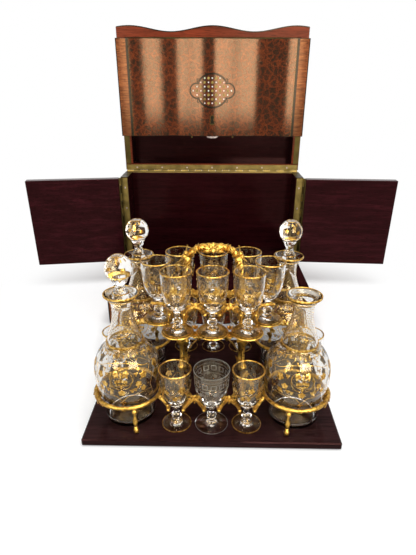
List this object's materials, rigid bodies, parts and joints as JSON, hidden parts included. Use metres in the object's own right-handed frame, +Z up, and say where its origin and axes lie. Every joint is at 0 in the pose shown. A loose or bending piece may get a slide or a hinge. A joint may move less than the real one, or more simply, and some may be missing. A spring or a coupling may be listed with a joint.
{
  "type": "liqueur case",
  "caption": "Serpentine-fronted wooden liqueur case with rear-hinged lid, fold-up front, swing-out sides, and a lift-out gilt rack of decanters and stemmed glasses.",
  "frame": {"origin": "centre of the underside of the case's base", "axes": "+X to the right and -Y to the front as seen facing the case, +Z up"},
  "size_m": [0.6922, 0.5933, 0.4715],
  "materials": {
    "mahogany": "french-polished mahogany, satin to gloss",
    "rosewood": "french-polished dark rosewood veneer, gloss",
    "burr_veneer": "french-polished burr veneer with banding and inlay, high gloss",
    "brass": "aged brass, semi-matt",
    "lock_steel": "filed steel, dull",
    "gilt_bronze": "gilt bronze, bright",
    "crystal": "clear cut crystal with gilt decoration"
  },
  "bodies": {
    "case": {"base_frame": "mahogany", "base_floor": "mahogany", "back_panel": "rosewood", "return_left": "rosewood", "return_right": "rosewood", "lid_hinge_case_leaf": "brass", "wing_hinge_case_leaf_left": "brass", "wing_hinge_case_leaf_right": "brass", "strike_plate": "brass"},
    "lid": {"lid_top": "burr_veneer", "lid_frame": "mahogany", "lid_hinge_lid_leaf": "brass", "flap_hinge_lid_leaf": "brass"},
    "flap": {"flap_panel": "burr_veneer", "flap_hinge_flap_leaf": "brass", "lock_case": "lock_steel", "escutcheon": "brass", "locating_pin_left": "brass", "locating_pin_right": "brass"},
    "lock_bolt": {"lock_bolt": "lock_steel"},
    "wing_left": {"wing_left": "rosewood", "wing_hinge_wing_leaf_left": "brass"},
    "wing_right": {"wing_right": "rosewood", "wing_hinge_wing_leaf_right": "brass"},
    "rack": {"tray_board": "rosewood", "ring_front_left": "gilt_bronze", "ring_front_right": "gilt_bronze", "ring_rear_left": "gilt_bronze", "ring_rear_right": "gilt_bronze", "column_front_left": "gilt_bronze", "column_front_right": "gilt_bronze", "column_rear_left": "gilt_bronze", "column_rear_right": "gilt_bronze", "upper_tier": "gilt_bronze", "upper_gallery": "gilt_bronze", "handle": "gilt_bronze"},
    "glass_lower_front_left": {"glass_lower_front_left": "crystal"},
    "glass_lower_rear_left": {"glass_lower_rear_left": "crystal"},
    "glass_upper_front_left": {"glass_upper_front_left": "crystal"},
    "glass_upper_rear_left": {"glass_upper_rear_left": "crystal"},
    "glass_lower_front_middle": {"glass_lower_front_middle": "crystal"},
    "glass_lower_rear_middle": {"glass_lower_rear_middle": "crystal"},
    "glass_upper_front_middle": {"glass_upper_front_middle": "crystal"},
    "glass_upper_rear_middle": {"glass_upper_rear_middle": "crystal"},
    "glass_lower_front_right": {"glass_lower_front_right": "crystal"},
    "glass_lower_rear_right": {"glass_lower_rear_right": "crystal"},
    "glass_upper_front_right": {"glass_upper_front_right": "crystal"},
    "glass_upper_rear_right": {"glass_upper_rear_right": "crystal"},
    "glass_lower_side_left": {"glass_lower_side_left": "crystal"},
    "glass_upper_side_left": {"glass_upper_side_left": "crystal"},
    "glass_lower_side_right": {"glass_lower_side_right": "crystal"},
    "glass_upper_side_right": {"glass_upper_side_right": "crystal"},
    "decanter_front_left": {"decanter_front_left": "crystal"},
    "decanter_front_right": {"decanter_front_right": "crystal"},
    "decanter_rear_left": {"decanter_rear_left": "crystal"},
    "decanter_rear_right": {"decanter_rear_right": "crystal"},
    "stopper_front_left": {"stopper_front_left": "crystal"},
    "stopper_rear_left": {"stopper_rear_left": "crystal"},
    "stopper_rear_right": {"stopper_rear_right": "crystal"}
  },
  "joints": [
    {"name": "lid_hinge", "type": "hinge", "parent": "case", "child": "lid", "pos_m": [0, 0.1295, 0.2145], "axis": [1, 0, 0], "range_deg": [0, 90]},
    {"name": "flap_hinge", "type": "hinge", "parent": "lid", "child": "flap", "pos_m": [0, 0.1295, 0.4505], "axis": [-1, 0, 0], "range_deg": [0, 90]},
    {"name": "bolt_slide", "type": "slide", "parent": "flap", "child": "lock_bolt", "axis": [0, 0, 1], "range_m": [0, 0.005]},
    {"name": "wing_left_hinge", "type": "hinge", "parent": "case", "child": "wing_left", "pos_m": [-0.177, 0.0625, 0.0475], "axis": [0, 0, 1], "range_deg": [-93.6, 81.4]},
    {"name": "wing_right_hinge", "type": "hinge", "parent": "case", "child": "wing_right", "pos_m": [0.177, 0.0625, 0.0475], "axis": [0, 0, -1], "range_deg": [-88.4, 86.6]},
    {"name": "rack_lift", "type": "slide", "parent": "case", "child": "rack", "axis": [0, 0, 1], "range_m": [0, 0.3]},
    {"name": "glass_lower_front_left_slide", "type": "slide", "parent": "rack", "child": "glass_lower_front_left", "axis": [-0.0102, -0.9999, 0], "range_m": [0, 0.03]},
    {"name": "glass_lower_rear_left_slide", "type": "slide", "parent": "rack", "child": "glass_lower_rear_left", "axis": [0.0102, 0.9999, 0], "range_m": [0, 0.03]},
    {"name": "glass_upper_front_left_slide", "type": "slide", "parent": "rack", "child": "glass_upper_front_left", "axis": [-0.0102, -0.9999, 0], "range_m": [0, 0.03]},
    {"name": "glass_upper_rear_left_slide", "type": "slide", "parent": "rack", "child": "glass_upper_rear_left", "axis": [0.0102, 0.9999, 0], "range_m": [0, 0.03]},
    {"name": "glass_lower_front_middle_slide", "type": "slide", "parent": "rack", "child": "glass_lower_front_middle", "axis": [-0.0102, -0.9999, 0], "range_m": [0, 0.03]},
    {"name": "glass_lower_rear_middle_slide", "type": "slide", "parent": "rack", "child": "glass_lower_rear_middle", "axis": [0.0102, 0.9999, 0], "range_m": [0, 0.03]},
    {"name": "glass_upper_front_middle_slide", "type": "slide", "parent": "rack", "child": "glass_upper_front_middle", "axis": [-0.0102, -0.9999, 0], "range_m": [0, 0.03]},
    {"name": "glass_upper_rear_middle_slide", "type": "slide", "parent": "rack", "child": "glass_upper_rear_middle", "axis": [0.0102, 0.9999, 0], "range_m": [0, 0.03]},
    {"name": "glass_lower_front_right_slide", "type": "slide", "parent": "rack", "child": "glass_lower_front_right", "axis": [-0.0102, -0.9999, 0], "range_m": [0, 0.03]},
    {"name": "glass_lower_rear_right_slide", "type": "slide", "parent": "rack", "child": "glass_lower_rear_right", "axis": [0.0102, 0.9999, 0], "range_m": [0, 0.03]},
    {"name": "glass_upper_front_right_slide", "type": "slide", "parent": "rack", "child": "glass_upper_front_right", "axis": [-0.0102, -0.9999, 0], "range_m": [0, 0.03]},
    {"name": "glass_upper_rear_right_slide", "type": "slide", "parent": "rack", "child": "glass_upper_rear_right", "axis": [0.0102, 0.9999, 0], "range_m": [0, 0.03]},
    {"name": "glass_lower_side_left_slide", "type": "slide", "parent": "rack", "child": "glass_lower_side_left", "axis": [-0.9999, 0.0102, 0], "range_m": [0, 0.03]},
    {"name": "glass_upper_side_left_slide", "type": "slide", "parent": "rack", "child": "glass_upper_side_left", "axis": [-0.9999, 0.0102, 0], "range_m": [0, 0.03]},
    {"name": "glass_lower_side_right_slide", "type": "slide", "parent": "rack", "child": "glass_lower_side_right", "axis": [0.9999, -0.0102, 0], "range_m": [0, 0.03]},
    {"name": "glass_upper_side_right_slide", "type": "slide", "parent": "rack", "child": "glass_upper_side_right", "axis": [0.9999, -0.0102, 0], "range_m": [0, 0.03]},
    {"name": "decanter_front_left_lift", "type": "slide", "parent": "rack", "child": "decanter_front_left", "axis": [0, 0, 1], "range_m": [0, 0.06]},
    {"name": "decanter_front_right_lift", "type": "slide", "parent": "rack", "child": "decanter_front_right", "axis": [0, 0, 1], "range_m": [0, 0.06]},
    {"name": "decanter_rear_left_lift", "type": "slide", "parent": "rack", "child": "decanter_rear_left", "axis": [0, 0, 1], "range_m": [0, 0.06]},
    {"name": "decanter_rear_right_lift", "type": "slide", "parent": "rack", "child": "decanter_rear_right", "axis": [0, 0, 1], "range_m": [0, 0.06]},
    {"name": "stopper_front_left_lift", "type": "slide", "parent": "decanter_front_left", "child": "stopper_front_left", "axis": [0, 0, 1], "range_m": [0, 0.03]},
    {"name": "stopper_rear_left_lift", "type": "slide", "parent": "decanter_rear_left", "child": "stopper_rear_left", "axis": [0, 0, 1], "range_m": [0, 0.03]},
    {"name": "stopper_rear_right_lift", "type": "slide", "parent": "decanter_rear_right", "child": "stopper_rear_right", "axis": [0, 0, 1], "range_m": [0, 0.03]}
  ]
}
